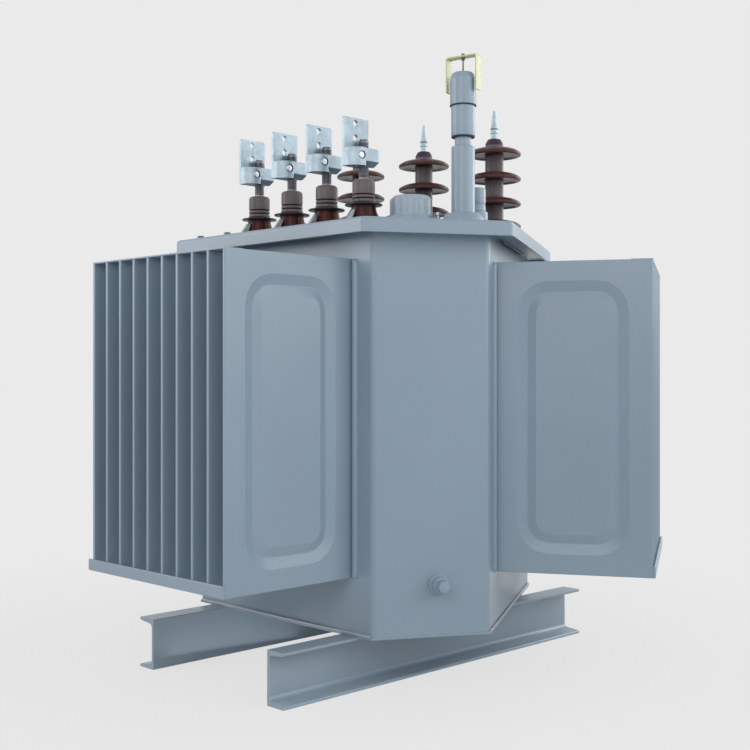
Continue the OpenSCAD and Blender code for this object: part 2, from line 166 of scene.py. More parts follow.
def tint(finish, pattern, dark, light, socket):
    """Colours the surface from one shade to another along a pattern."""
    tree = finish.node_tree
    ramp = tree.nodes.new("ShaderNodeValToRGB")
    for stop, position, colour in zip(ramp.color_ramp.elements, (cloud_low, cloud_high), (dark, light)):
        stop.position = position
        stop.color = colour
    tree.links.new(pattern, ramp.inputs["Fac"])
    tree.links.new(ramp.outputs["Color"], socket)


def vary(finish, pattern, low, high, socket):
    """Varies a number over the surface along a pattern."""
    tree = finish.node_tree
    spread = tree.nodes.new("ShaderNodeMapRange")
    spread.inputs["From Min"].default_value = cloud_low
    spread.inputs["From Max"].default_value = cloud_high
    spread.inputs["To Min"].default_value = low
    spread.inputs["To Max"].default_value = high
    tree.links.new(pattern, spread.inputs["Value"])
    tree.links.new(spread.outputs["Result"], socket)


def emboss(finish, pattern, strength, distance, socket):
    """Raises the surface along a pattern."""
    tree = finish.node_tree
    bump = tree.nodes.new("ShaderNodeBump")
    bump.inputs["Strength"].default_value = strength
    bump.inputs["Distance"].default_value = distance
    tree.links.new(pattern, bump.inputs["Height"])
    tree.links.new(bump.outputs["Normal"], socket)


def clouded(name, dark, light, clouds, gloss, rough, grain, relief, fixed=()):
    """A finish with clouds of colour, uneven gloss and a fine grain, each pattern a scale and a detail."""
    finish, shader, coordinates = new_finish(name)
    tint(finish, mottle(finish, coordinates, *clouds), dark, light, shader.inputs["Base Color"])
    vary(finish, mottle(finish, coordinates, *gloss), *rough, shader.inputs["Roughness"])
    emboss(finish, mottle(finish, coordinates, *grain), *relief, shader.inputs["Normal"])
    for socket, value in fixed:
        shader.inputs[socket].default_value = value
    return finish


def sprayed_paint(name, dark, light):
    """Sprayed enamel: faint clouds of colour, uneven gloss and a fine orange peel."""
    return clouded(
        name, dark, light, clouds=(2.2, 4.0), gloss=(5.0, 1.0), rough=(0.34, 0.40),
        grain=(190.0, 1.0), relief=(0.02, 0.0006), fixed=(("Coat Weight", 0.15), ("Coat Roughness", 0.20)),
    )


tank_paint = sprayed_paint("tank_paint", shade(130, 150, 165), shade(137, 157, 172))
# The skids' paint is the tank's made paler: painted light that lifts the skids in the shade under the tank.
skid_painted_light = sprayed_paint("skid_painted_light", shade(139, 157, 170), shade(148, 166, 179))

for name, hand in (("skid_left", -1), ("skid_right", 1)):
    low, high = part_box(name)
    web_x = min(abs(low.x), abs(high.x))
    toe_x = max(abs(low.x), abs(high.x))
    skid_h = high.z
    profile = rounded([
        (web_x, 0, skid_edge_r), (toe_x, 0, skid_edge_r), (toe_x, skid_tip_t, skid_toe_r),
        (web_x + skid_web_t, skid_root_t, skid_fillet_r),
        (web_x + skid_web_t, skid_h - skid_root_t, skid_fillet_r),
        (toe_x, skid_h - skid_tip_t, skid_toe_r), (toe_x, skid_h, skid_edge_r), (web_x, skid_h, skid_edge_r),
    ])
    skid = cut_sheet(name + "_channel", [(hand * x, low.y, z) for x, z in profile])
    thicken(skid, (0, high.y - low.y, 0))
    fit(skid, skid_painted_light, "tank_paint", name, flat=True)

# Base plate
# A six-sided steel plate under the tank, welded to the skids and to the walls.
# It stands out as a thin lip along the three finned faces only.
tank_axis_y = 0.052957
tank_face = 0.282
tank_corner = 0.368
base_lip = 0.003
plate_edge = 0.001


def plan(face, corner, z=0.0):
    """The six corners of the plan, from the front face's right end round to its left end."""
    corners = []
    for side in range(6):
        angle = radians(-90 + 60 * side)
        reach, next_reach = (face, corner) if side % 2 == 0 else (corner, face)
        run = (next_reach - reach * cos(pi / 3)) / sin(pi / 3)
        corners.append(Vector((
            reach * cos(angle) - run * sin(angle),
            reach * sin(angle) + run * cos(angle) + tank_axis_y,
            z,
        )))
    return corners


low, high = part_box("base_plate")
base = cut_sheet("base_sheet", plan(tank_face + base_lip, tank_corner, low.z))
thicken(base, (0, 0, high.z - low.z))
ease_edges(base, plate_edge)
fit(base, tank_paint, "tank_paint", "base_plate", flat=True)

# Tank walls
# One band of steel sheet bent round six corners, welded along the base plate and open under the lid.
# A weld bead runs down beside each bank's two end fins, and a pale run lies along the foot of each finned
# face, painted as a highlight on the lit edge of the base plate's lip.
wall_t = 0.005
bend_offset = 0.0085
bead_r = 0.0075
bead_end_r = 0.00735
bead_side = 0.21625
bead_root = 0.0025
base_run_r = 0.0023
base_run_half = 0.256
base_run_out = 0.2838
base_run_lift = 0.00115
near = 1e-5


def bevel_edges(piece, wanted, offset, segments):
    """Rounds the edges of a piece that a test of their two ends picks."""
    bpy.ops.object.mode_set(mode="EDIT")
    bpy.ops.mesh.select_mode(type="EDGE")
    bpy.ops.mesh.select_all(action="DESELECT")
    bpy.ops.object.mode_set(mode="OBJECT")
    for edge in piece.data.edges:
        a, b = (piece.data.vertices[i].co for i in edge.vertices)
        edge.select = bool(wanted(a, b))
    bpy.ops.object.mode_set(mode="EDIT")
    bpy.ops.mesh.bevel(offset=offset, segments=segments)
    bpy.ops.object.mode_set(mode="OBJECT")


def open_up(piece, wanted):
    """Takes away the faces of a piece that a test of the way they face picks."""
    bpy.ops.object.mode_set(mode="EDIT")
    bpy.ops.mesh.select_mode(type="FACE")
    bpy.ops.mesh.select_all(action="DESELECT")
    bpy.ops.object.mode_set(mode="OBJECT")
    for face in piece.data.polygons:
        face.select = bool(wanted(face.normal))
    bpy.ops.object.mode_set(mode="EDIT")
    bpy.ops.mesh.delete(type="FACE")
    bpy.ops.object.mode_set(mode="OBJECT")


def upright(a, b):
    """An edge that stands straight up."""
    return abs(a.x - b.x) < near and abs(a.y - b.y) < near


def turned(name, corners, steps=48, arc=4):
    """A piece turned about the upright axis from corners that give a radius, a height and a rounding."""
    outline = rounded([(*corner, 0)[:3] for corner in corners], arc, False)
    bpy.ops.mesh.primitive_plane_add(size=0.001)
    piece = bpy.context.object
    piece.name = piece.data.name = name
    bpy.ops.object.mode_set(mode="EDIT")
    bpy.ops.mesh.select_mode(type="VERT")
    bpy.ops.mesh.select_all(action="SELECT")
    bpy.ops.mesh.merge(type="CENTER")
    bpy.ops.transform.translate(value=(outline[0].x, 0, outline[0].y))
    for before, point in zip(outline, outline[1:]):
        step = point - before
        bpy.ops.mesh.extrude_region_move(TRANSFORM_OT_translate={"value": (step.x, 0, step.y)})
    bpy.ops.mesh.select_all(action="SELECT")
    bpy.ops.mesh.spin(steps=steps, angle=2 * pi, center=(0, 0, 0), axis=(0, 0, 1))
    bpy.ops.mesh.select_all(action="SELECT")
    bpy.ops.mesh.remove_doubles(threshold=1e-6)
    bpy.ops.mesh.normals_make_consistent(inside=False)
    bpy.ops.object.mode_set(mode="OBJECT")
    return piece


def turned_bar(name, radius, low, high, low_edge=0, high_edge=0, steps=48, arc=4):
    """A round bar or disc between two heights, with its edges rounded."""
    return turned(name, [(0, low), (radius, low, low_edge), (radius, high, high_edge), (0, high)], steps, arc)


def copy_of(piece, name, place):
    """A copy of a piece with a mesh of its own, put in its place."""
    twin = piece.copy()
    twin.data = piece.data.copy()
    twin.name = twin.data.name = name
    twin.data.transform(place)
    bpy.context.scene.collection.objects.link(twin)
    return twin


def joined(pieces, name):
    """Several pieces made one."""
    bpy.ops.object.select_all(action="DESELECT")
    for piece in pieces:
        piece.select_set(True)
    bpy.context.view_layer.objects.active = pieces[0]
    bpy.ops.object.join()
    pieces[0].name = pieces[0].data.name = name
    return pieces[0]


def row_of(pattern, name, places):
    """Copies of a pattern in their places, made one piece."""
    return joined([copy_of(pattern, name + "_part", place) for place in places], name)


def scrap(*patterns):
    """Throws patterns away once their copies are made."""
    for pattern in patterns:
        bpy.data.objects.remove(pattern)


def at_side(side, out, along, z):
    """A place on a side of the tank: out from the axis, along the side and up, turned to face outwards."""
    turn = Matrix.Rotation(radians(-90 + 60 * side), 4, "Z")
    return Matrix.Translation((0, tank_axis_y, 0)) @ turn @ Matrix.Translation((out, along, z))


low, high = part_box("front_right_corner")
walls = cut_sheet("tank_shell", plan(tank_face, tank_corner, low.z))
thicken(walls, (0, 0, high.z - low.z))
bevel_edges(walls, upright, bend_offset, 6)
open_up(walls, lambda facing: abs(facing.z) > 0.9)
apply_modifier(walls, "SOLIDIFY", thickness=wall_t, offset=-1, use_even_offset=True)
fit(
    walls, tank_paint, "tank_paint",
    "front_wall", "right_wall", "left_wall", "front_right_corner", "back_corner", "front_left_corner",
    flat=True,
)

fin_low, fin_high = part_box("front_fins")
fin_h = fin_high.z - fin_low.z
bead = turned_bar("bead_pattern", bead_r, 0, fin_h, bead_end_r, bead_end_r, steps=20, arc=5)
bpy.ops.object.mode_set(mode="EDIT")
bpy.ops.mesh.select_all(action="SELECT")
bpy.ops.mesh.bisect(
    plane_co=(-bead_root, 0, 0), plane_no=(1, 0, 0), use_fill=True, clear_inner=True, clear_outer=False
)
bpy.ops.object.mode_set(mode="OBJECT")
beads = row_of(bead, "wall_weld_beads", [
    at_side(side, tank_face, hand * bead_side, fin_low.z) for side in (0, 2, 4) for hand in (-1, 1)
])
fit(beads, tank_paint, "tank_paint")


def bead_along(name, radius, start, end):
    """A thin round run laid along a side, with round ends."""
    run = turned_bar(name, radius, 0, end - start, radius * 0.9, radius * 0.9, steps=12, arc=3)
    run.data.transform(Matrix.Translation((0, start, 0)) @ Matrix.Rotation(-pi / 2, 4, "X"))
    return run


# The pale colour of the base runs is a painted highlight for the lit edge of the plate's lip.
base_highlight_paint = sprayed_paint("base_highlight_paint", shade(164, 170, 174), shade(176, 182, 186))
base_run = bead_along("base_run_pattern", base_run_r, -base_run_half, base_run_half)
base_runs = row_of(base_run, "base_highlight_runs", [
    at_side(side, base_run_out, 0, low.z + base_run_lift) for side in (0, 2, 4)
])
fit(base_runs, base_highlight_paint, None)
scrap(bead, base_run)

# Cooling fins
# Ten hollow fins a bank, folded from one strip of sheet and welded into each long face.
# A wide channel is pressed round each fin's outer face, and a thin flat strip lies on top of the tips.
fin_t = 0.0065
fin_depth = 0.298
fin_pitch = 0.0456
fin_count = 10
ring_end = 0.043
ring_top = 0.038
ring_r = 0.060
ring_outer_slope = 0.0195
ring_floor = 0.002
ring_inner_slope = 0.0165
ring_depth = 0.0054
fold_r = 0.0015
corner_steps = 4
strip_w = 0.040
strip_t = 0.003
strip_sink = 0.0021
strip_lap = 0.0004
strip_edge = 0.0007

half_run = fin_depth / 2
half_rise = fin_h / 2
ring_run = half_run - ring_end
ring_rise = half_rise - ring_top
ring = rounded([
    (ring_run, -ring_rise, ring_r), (ring_run, ring_rise, ring_r),
    (-ring_run, ring_rise, ring_r), (-ring_run, -ring_rise, ring_r),
], corner_steps)


def fin_border(place):
    """The point on the fin's own edge that lies outside a point of the pressed channel's outline."""
    bend_x, bend_z = ring_run - ring_r, ring_rise - ring_r
    across, up = abs(place.x), abs(place.z)
    turn = atan2(max(up - bend_z, 0), max(across - bend_x, 0))
    if turn <= pi / 4 + 1e-4:
        new = (half_run, bend_z + (half_rise - bend_z) * turn / (pi / 4))
    else:
        new = (bend_x + (half_run - bend_x) * (pi / 2 - turn) / (pi / 4), half_rise)
    return Vector((new[0] * (1 if place.x > 0 else -1), place.y, new[1] * (1 if place.z > 0 else -1)))


def pick_open_edges():
    """Picks the edges round the open side of the sheet in hand."""
    bpy.ops.mesh.select_mode(type="EDGE")
    bpy.ops.mesh.select_all(action="DESELECT")
    bpy.ops.mesh.select_non_manifold()


def on_fold(a, b):
    """An edge along the fin's top, bottom or tip, on one of its two sides."""
    on_one_side = abs(abs(a.y) - fin_t / 2) < near and abs(a.y - b.y) < near
    at_tip = min(a.x, b.x) > half_run - near
    return on_one_side and (at_tip or min(abs(a.z), abs(b.z)) > half_rise - near)


fin = cut_sheet("fin_pattern", [(x, -fin_t / 2, z) for x, z in ring])
if fin.data.polygons[0].normal.y > 0:
    fin.data.flip_normals()
bpy.ops.object.mode_set(mode="EDIT")
bpy.ops.mesh.select_all(action="SELECT")
bpy.ops.mesh.inset(thickness=ring_outer_slope, depth=-ring_depth)
bpy.ops.mesh.inset(thickness=ring_floor, depth=0)
bpy.ops.mesh.inset(thickness=ring_inner_slope, depth=ring_depth)
pick_open_edges()
bpy.ops.mesh.extrude_region_move(TRANSFORM_OT_translate={"value": (0, 0, 0)})
bpy.ops.object.mode_set(mode="OBJECT")
for vertex in fin.data.vertices:
    if vertex.select:
        vertex.co = fin_border(vertex.co)
bpy.ops.object.mode_set(mode="EDIT")
pick_open_edges()
bpy.ops.mesh.extrude_region_move(TRANSFORM_OT_translate={"value": (0, fin_t, 0)})
bpy.ops.mesh.edge_face_add()
bpy.ops.mesh.select_all(action="SELECT")
bpy.ops.mesh.normals_make_consistent(inside=False)
bpy.ops.object.mode_set(mode="OBJECT")
bevel_edges(fin, on_fold, fold_r, 3)
fin.data.transform(Matrix.Translation((half_run, 0, half_rise)))
turned_over = Matrix.Translation((0, fin_pitch / 2, fin_h)) @ Matrix.Rotation(pi, 4, "X")
other_fin = copy_of(fin, "fin_turned_over", turned_over)
fin.data.transform(Matrix.Translation((0, -(fin_count - 1) / 2 * fin_pitch, 0)))
for half_bank in (fin, other_fin):
    apply_modifier(
        half_bank, "ARRAY", count=fin_count // 2, use_relative_offset=False, use_constant_offset=True,
        constant_offset_displace=(0, fin_pitch, 0),
    )
fin_bank = joined([fin, other_fin], "fin_bank_pattern")
bank_half = (fin_count - 1) / 2 * fin_pitch + fin_t / 2
strip_root, strip_tip = fin_depth - strip_w, fin_depth + strip_lap
strip = cut_sheet("strip_pattern", [
    (x, y, fin_h - strip_sink) for x, y in (
        (strip_root, -bank_half), (strip_tip, -bank_half), (strip_tip, bank_half), (strip_root, bank_half),
    )
])
thicken(strip, (0, 0, strip_t))
ease_edges(strip, strip_edge)
for side, name in ((0, "front_fins"), (2, "right_fins"), (4, "left_fins")):
    root = at_side(side, tank_face, 0, fin_low.z)
    fit(copy_of(fin_bank, name + "_pressed", root), tank_paint, "tank_paint", name, flat=True, angle=9)
    fit(copy_of(strip, name + "_top_strip", root), tank_paint, "tank_paint", flat=True)
scrap(fin_bank, strip)

# Tie bars
# A flat steel bar welded across the ten fin tips of each bank, level with their lower ends.
# Its edges are rolled round, and it runs a little past the last fin at one end only.
bar_t = 0.005
bar_h = 0.022
bar_overrun = 0.007
bar_edge = 0.0018

bar_outline = rounded([
    (0, 0, bar_edge), (bar_t, 0, bar_edge), (bar_t, bar_h, bar_edge), (0, bar_h, bar_edge),
])
bar = cut_sheet("bar_pattern", [(x, -bank_half, z) for x, z in bar_outline])
thicken(bar, (0, 2 * bank_half + bar_overrun, 0))
for side, name, shift in (
    (0, "front_fin_bar", -bar_overrun), (2, "right_fin_bar", 0), (4, "left_fin_bar", 0),
):
    tips = at_side(side, tank_face + fin_depth, shift, fin_low.z)
    fit(copy_of(bar, name + "_rolled", tips), tank_paint, "tank_paint", name, flat=True)
scrap(bar)

# Rim and lid
# The tank's rim is a flat steel flange, with a thin near-white run under it along each finned face, painted
# as a highlight.
# The lid is one pressed sheet with its edge turned down over that rim, and it has two pairs of dull bolts.
lid_face = 0.331
lid_corner = 0.413
lid_edge_z = 0.8455
lid_top_z = 0.8735
lid_bend = 0.0075
lid_corner_bend = 0.006
lid_sheet_t = 0.006
lid_bolt_inset = 0.0215
lid_bolts_along = (0.2267, 0.1361)
lid_bolt_r = 0.0072
lid_bolt_h = 0.0050
lid_bolt_chamfer = 0.001008
lid_washer_r = 0.0084
lid_washer_t = 0.0012
lid_washer_edge = 0.00036
seam_r = 0.0018
seam_out = 0.2868
seam_z = 0.8522
seam_from = -0.112
seam_to = 0.157

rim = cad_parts["rim_flange"]
rim.data.materials.clear()
rim.data.materials.append(tank_paint)

lid = cut_sheet("lid_sheet", plan(lid_face, lid_corner, lid_edge_z))
thicken(lid, (0, 0, lid_top_z - lid_edge_z))
bevel_edges(lid, upright, lid_corner_bend, 4)
bevel_edges(lid, lambda a, b: min(a.z, b.z) > lid_top_z - near, lid_bend, 5)
open_up(lid, lambda facing: facing.z < -0.9)
apply_modifier(lid, "SOLIDIFY", thickness=lid_sheet_t, offset=-1, use_even_offset=True)
fit(lid, tank_paint, "tank_paint", "lid", flat=True)


def bright_metal(name, dark, light, rough_low, rough_high):
    """Plated metal: cloudy plating with a faint drawn grain."""
    return clouded(
        name, dark, light, clouds=(60.0, 3.0), gloss=(140.0, 4.0), rough=(rough_low, rough_high),
        grain=(500.0, 2.0, (1, 1, 0.1)), relief=(0.12, 0.0003), fixed=(("Metallic", 1.0),),
    )


def put(piece, x, y, z):
    """Moves a piece to its place."""
    piece.data.transform(Matrix.Translation((x, y, z)))
    return piece


def hex_head(name, radius, height, chamfer):
    """A hexagon standing on zero with the edges round its top taken off."""
    bpy.ops.mesh.primitive_cylinder_add(vertices=6, radius=radius, depth=height)
    head = bpy.context.object
    head.name = head.data.name = name
    bevel_edges(head, lambda a, b: a.z > 0 and b.z > 0, chamfer, 2)
    return put(head, 0, 0, height / 2)


bolt_steel = bright_metal("bolt_steel", shade(92, 91, 98), shade(114, 113, 120), 0.45, 0.6)
washer = turned_bar(
    "washer", lid_washer_r, 0, lid_washer_t, lid_washer_edge, lid_washer_edge, steps=16, arc=1
)
head = put(hex_head("head", lid_bolt_r, lid_bolt_h, lid_bolt_chamfer), 0, 0, lid_washer_t)
bolt = joined([washer, head], "lid_bolt_pattern")
bolts = row_of(bolt, "lid_bolts", [
    at_side(side, lid_face - lid_bolt_inset, hand * along, lid_top_z)
    for side, hand in ((0, -1), (4, 1)) for along in lid_bolts_along
])
fit(bolts, bolt_steel, "tinned_metal")

# The near-white runs under the rim are a painted highlight: a bright line in the shade under the lid's edge.
rim_highlight_white = clouded(
    "rim_highlight_white", shade(200, 202, 198), shade(216, 217, 213),
    clouds=(70.0, 3.0), gloss=(160.0, 3.0), rough=(0.45, 0.6), grain=(240.0, 3.0), relief=(0.2, 0.0006),
)
seam = bead_along("seam_pattern", seam_r, seam_from, seam_to)
seams = row_of(seam, "rim_seam_runs", [at_side(side, seam_out, 0, seam_z) for side in (0, 2, 4)])
fit(seams, rim_highlight_white, None)
scrap(bolt, seam)

# Low-voltage bushings
# Four porcelain bushings in brown glaze, each a tapered foot, a thin shed, a ringed neck and a plain head.
# Two claws and a rubber ring hold each foot to the lid, and a threaded dull brass stud stands on its head.
lv_foot_r = 0.031
lv_foot_h = 0.0465
lv_foot_taper = 0.002
lv_foot_bend_z = 0.016275
lv_foot_bend_r = 0.03
lv_neck_r = 0.022
lv_shed_r = 0.0365
lv_shed_t = 0.004
lv_shed_edge = 0.001
lv_neck_h = 0.021
lv_head_h = 0.024
lv_head_edge = 0.0065
lv_grooves = ((0.30, 0.45), (0.65, 0.80))
lv_groove = 0.002
lv_groove_slope = 0.0008
lv_groove_edge = 0.0006
lv_seal_bore = 0.027
lv_seal_r = 0.0335
lv_seal_t = 0.003
lv_seal_edge = 0.0012
lv_stud_r = 0.0098
thread_start = 0.006
thread_pitch = 0.0026
thread_depth = 0.0009
stud_end_h = 0.0035
stud_end_in = 0.0022
claw_out = 0.055
claw_top = 0.036
claw_w = 0.008
claw_lip = 0.006
claw_foot = 0.010
claw_bend = 0.003
claw_edge = 0.001
glaze_step = 0.002


def banded(finish, coordinates, bands, socket, cloud_scale):
    """Colours that change with height, each band a height and its shade, with uneven clouds over them."""
    tree = finish.node_tree
    parts = tree.nodes.new("ShaderNodeSeparateXYZ")
    tree.links.new(coordinates, parts.inputs["Vector"])
    height = tree.nodes.new("ShaderNodeMapRange")
    bottom, top = bands[0][0], bands[-1][0]
    height.inputs["From Min"].default_value = bottom
    height.inputs["From Max"].default_value = top
    tree.links.new(parts.outputs["Z"], height.inputs["Value"])
    ramp = tree.nodes.new("ShaderNodeValToRGB")
    stops = ramp.color_ramp.elements
    stops[0].color, stops[1].color = bands[0][1], bands[-1][1]
    for z, colour in bands[1:-1]:
        stops.new((z - bottom) / (top - bottom)).color = colour
    tree.links.new(height.outputs["Result"], ramp.inputs["Fac"])
    clouds = tree.nodes.new("ShaderNodeHueSaturation")
    tree.links.new(ramp.outputs["Color"], clouds.inputs["Color"])
    vary(finish, mottle(finish, coordinates, cloud_scale, 4.0), 0.84, 1.16, clouds.inputs["Value"])
    tree.links.new(clouds.outputs["Color"], socket)


def glaze(name, bands):
    """Fired glaze: colours in bands by height, and a wet gloss over fine ripples."""
    finish, shader, coordinates = new_finish(name)
    banded(finish, coordinates, bands, shader.inputs["Base Color"], cloud_scale=38.0)
    gloss = mottle(finish, coordinates, scale=90.0)
    vary(finish, gloss, low=0.25, high=0.37, socket=shader.inputs["Roughness"])
    ripples = mottle(finish, coordinates, scale=120.0, detail=1.0)
    emboss(finish, ripples, strength=0.05, distance=0.0006, socket=shader.inputs["Normal"])
    shader.inputs["Specular IOR Level"].default_value = 0.12
    shader.inputs["Coat Weight"].default_value = 0.05
    shader.inputs["Coat Roughness"].default_value = 0.10
    return finish


def footing(node):
    """The middle of a solid's underside."""
    low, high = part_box(node)
    return Vector(((low.x + high.x) / 2, (low.y + high.y) / 2, low.z))


def turned_ring(name, bore, radius, height, low_edge, high_edge):
    """A ring with a plain bore and its outer edges rounded."""
    return turned(name, [
        (bore, 0), (radius, 0, low_edge), (radius, height, high_edge), (bore, height), (bore, 0),
    ])


zinc_plate = bright_metal("zinc_plate", shade(138, 146, 152), shade(164, 172, 177), 0.36, 0.5)
stud_brass = bright_metal("stud_brass", shade(110, 109, 116), shade(134, 132, 139), 0.34, 0.5)
seal_rubber = clouded(
    "seal_rubber", shade(38, 38, 40), shade(58, 58, 60),
    clouds=(80.0, 3.0), gloss=(200.0, 3.0), rough=(0.62, 0.8), grain=(600.0, 3.0), relief=(0.15, 0.0004),
)

fittings_z = footing("lv_bushing_1").z
shed_z = lv_foot_h + lv_shed_t
neck_z = shed_z + lv_neck_h
head_z = neck_z + lv_head_h
groove_r = lv_neck_r - lv_groove
red_brown, painted_groove_shade = shade(66, 26, 22), shade(30, 17, 18)
shed_grey, taupe = shade(52, 48, 50), shade(106, 100, 101)
# The taupe of the neck and head is a painted reflection of the bright surroundings on the brown glaze.
lv_bands = [
    (0, red_brown), (lv_foot_h - 2 * glaze_step, red_brown), (lv_foot_h - glaze_step, shed_grey),
    (shed_z + 0.5 * glaze_step, shed_grey), (shed_z + 1.5 * glaze_step, taupe),
]
lv_outline = [
    (0, 0), (lv_foot_r, 0, 0.002), (lv_foot_r - lv_foot_taper, lv_foot_bend_z, lv_foot_bend_r),
    (lv_neck_r + 0.001, lv_foot_h - 0.001, 0.003), (lv_shed_r, lv_foot_h - 0.0015, lv_shed_edge),
    (lv_shed_r, lv_foot_h + 0.0012, lv_shed_edge), (lv_neck_r + 0.002, shed_z, 0.002),
    (lv_neck_r, shed_z + 0.003, 0.001),
]
for low_share, high_share in lv_grooves:
    start, end = shed_z + low_share * lv_neck_h, shed_z + high_share * lv_neck_h
    lv_outline += [
        (lv_neck_r, start, lv_groove_edge), (groove_r, start + lv_groove_slope, lv_groove_edge),
        (groove_r, end - lv_groove_slope, lv_groove_edge), (lv_neck_r, end, lv_groove_edge),
    ]
    # The red-black bands in the grooves are painted shade.
    lv_bands += [
        (start, taupe), (start + lv_groove_edge, painted_groove_shade), (end - lv_groove_edge, painted_groove_shade), (end, taupe),
    ]
lv_outline += [(lv_neck_r, head_z, lv_head_edge), (lv_stud_r, head_z), (0, head_z)]
lv_bands += [(head_z, taupe)]
lv_glaze = glaze("lv_glaze", [(fittings_z + z, colour) for z, colour in lv_bands])
lv_bushing = turned("lv_bushing_pattern", lv_outline)
lv_seal = turned_ring("lv_seal_pattern", lv_seal_bore, lv_seal_r, lv_seal_t, lv_seal_edge, lv_seal_edge)

stud_low, stud_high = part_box("lv_stud_1")
stud_h = stud_high.z - stud_low.z
thread_count = int((stud_h - 2 * thread_start) / thread_pitch)
stud_outline = [(0, 0), (lv_stud_r, 0)]
for i in range(thread_count):
    z = thread_start + i * thread_pitch
    stud_outline += [
        (lv_stud_r, z), (lv_stud_r - thread_depth, z + 0.4 * thread_pitch),
        (lv_stud_r, z + 0.8 * thread_pitch),
    ]
stud_outline += [(lv_stud_r, stud_h - stud_end_h), (lv_stud_r - stud_end_in, stud_h), (0, stud_h)]
lv_stud = turned("lv_stud_pattern", stud_outline, steps=32)

claw_outline = rounded([
    (claw_out, 0, claw_edge), (claw_out, claw_lip, claw_bend), (lv_foot_r + claw_edge, claw_top, claw_bend),
    (lv_foot_r - claw_lip, claw_top, claw_edge), (lv_seal_bore, claw_top - claw_lip, claw_edge),
    (claw_out - claw_foot, 0, claw_edge),
], 3)
claw = cut_sheet("claw_pattern", [(-claw_w / 2, y, z) for y, z in claw_outline])
thicken(claw, (claw_w, 0, 0))
ease_edges(claw, claw_edge, angle=50)

half_turn = Matrix.Rotation(pi, 4, "Z")
for number in range(1, 5):
    foot = Matrix.Translation(footing("lv_bushing_%d" % number))
    fit(
        copy_of(lv_bushing, "lv_porcelain_%d" % number, foot),
        lv_glaze, "porcelain", "lv_bushing_%d" % number,
    )
    fit(copy_of(lv_seal, "lv_seal_%d" % number, foot), seal_rubber, None)
    claws = row_of(claw, "lv_claws_%d" % number, [foot, foot @ half_turn])
    fit(claws, zinc_plate, "tinned_metal", flat=True)
    stud_foot = Matrix.Translation(footing("lv_stud_%d" % number))
    fit(
        copy_of(lv_stud, "lv_thread_%d" % number, stud_foot),
        stud_brass, "stud_metal", "lv_stud_%d" % number,
    )
scrap(lv_bushing, lv_seal, lv_stud, claw)

# Flag clamps
# A tinned casting grips each stud: a block with one big round corner, a narrower round back that slopes in
# underneath, and a flag plate with two bolt holes. A bolt sunk in the block's side tightens it.
block_bottom = -0.0047
block_top = 0.0297
block_back = -0.0093
block_back_edge = 0.003
clamp_half_w = 0.018
clamp_front = 0.040
clamp_corner_r = 0.026
clamp_back_r = 0.0135
clamp_back_round = 0.01323
clamp_back = 0.036
back_root = -0.0238
back_slope = 0.009
back_bottom = -0.003
back_top = 0.0305
clamp_bore_r = 0.010
flag_t = 0.006
flag_back = 0.025
flag_top = 0.091
flag_foot_edge = 0.001
flag_corner_r = 0.003
flag_lap = 0.0002
flag_proud = 0.0001
flag_hole_r = 0.0065
flag_hole_y = -0.010
flag_holes_z = (0.052, 0.080)
clamp_edge = 0.0011
sunk_bolt_y = -0.0195
sunk_bolt_z = 0.0150
sunk_hole_r = 0.0080
sunk_hole_x = 0.0130
sunk_bolt_r = 0.0068
sunk_bolt_h = 0.0040
sunk_bolt_root = 0.002
sunk_bolt_edge = 0.0014
sunk_bolt_play = 0.0010

tinned_metal = bright_metal("tinned_metal", shade(154, 170, 179), shade(168, 184, 193), 0.5, 0.62)
bright_zinc = bright_metal("bright_zinc", shade(186, 193, 197), shade(202, 208, 211), 0.4, 0.55)


def slab(name, points, low, high):
    """An upright slab drawn up from a flat outline."""
    return thicken(cut_sheet(name, [(x, y, low) for x, y in points]), (0, 0, high - low))


def combine(piece, other, operation):
    """Adds another solid to a piece or cuts it away."""
    apply_modifier(piece, "BOOLEAN", object=other, operation=operation, solver="EXACT")
    bpy.data.objects.remove(other)


def rod(name, radius, start, end, steps=32):
    """A round bar between two places, used to cut a hole."""
    start, end = Vector(start), Vector(end)
    round_bar = turned_bar(name, radius, 0, (end - start).length, steps=steps)
    aim = (end - start).to_track_quat("Z", "Y").to_matrix().to_4x4()
    round_bar.data.transform(Matrix.Translation(start) @ aim)
    return round_bar


clamp = slab("clamp_pattern", rounded([
    (-clamp_half_w, -clamp_front, 0), (clamp_half_w, -clamp_front, clamp_corner_r),
    (clamp_half_w, block_back, block_back_edge), (-clamp_half_w, block_back, 0),
], 10), block_bottom, block_top)
clamp_round = slab("clamp_round", rounded([
    (-clamp_back_r, back_root, 0), (clamp_back_r, back_root, 0),
    (clamp_back_r, clamp_back, clamp_back_round), (-clamp_back_r, clamp_back, clamp_back_round),
], 8), back_bottom, back_top)
bevel_edges(clamp_round, lambda a, b: max(a.z, b.z) < back_bottom + near, back_slope, 1)
combine(clamp, clamp_round, "UNION")
flag_front, flag_bottom = -clamp_front - flag_lap, block_bottom - flag_lap
flag_outline = rounded([
    (flag_front, flag_bottom, flag_foot_edge), (flag_back, flag_bottom, flag_corner_r),
    (flag_back, flag_top, flag_corner_r), (flag_front, flag_top, flag_corner_r),
], 4)
flag = cut_sheet("flag", [(-clamp_half_w - flag_proud, y, z) for y, z in flag_outline])
thicken(flag, (flag_t + flag_proud, 0, 0))
for z in flag_holes_z:
    hole = rod("flag_hole", flag_hole_r, (-2 * clamp_half_w, flag_hole_y, z), (0, flag_hole_y, z))
    combine(flag, hole, "DIFFERENCE")
combine(clamp, flag, "UNION")
bore = rod("clamp_bore", clamp_bore_r, (0, 0, 2 * block_bottom), (0, 0, 2 * block_top), 40)
combine(clamp, bore, "DIFFERENCE")
sunk_hole = rod(
    "sunk_hole", sunk_hole_r, (sunk_hole_x, sunk_bolt_y, sunk_bolt_z),
    (2 * clamp_half_w, sunk_bolt_y, sunk_bolt_z),
)
combine(clamp, sunk_hole, "DIFFERENCE")
ease_edges(clamp, clamp_edge, angle=40)

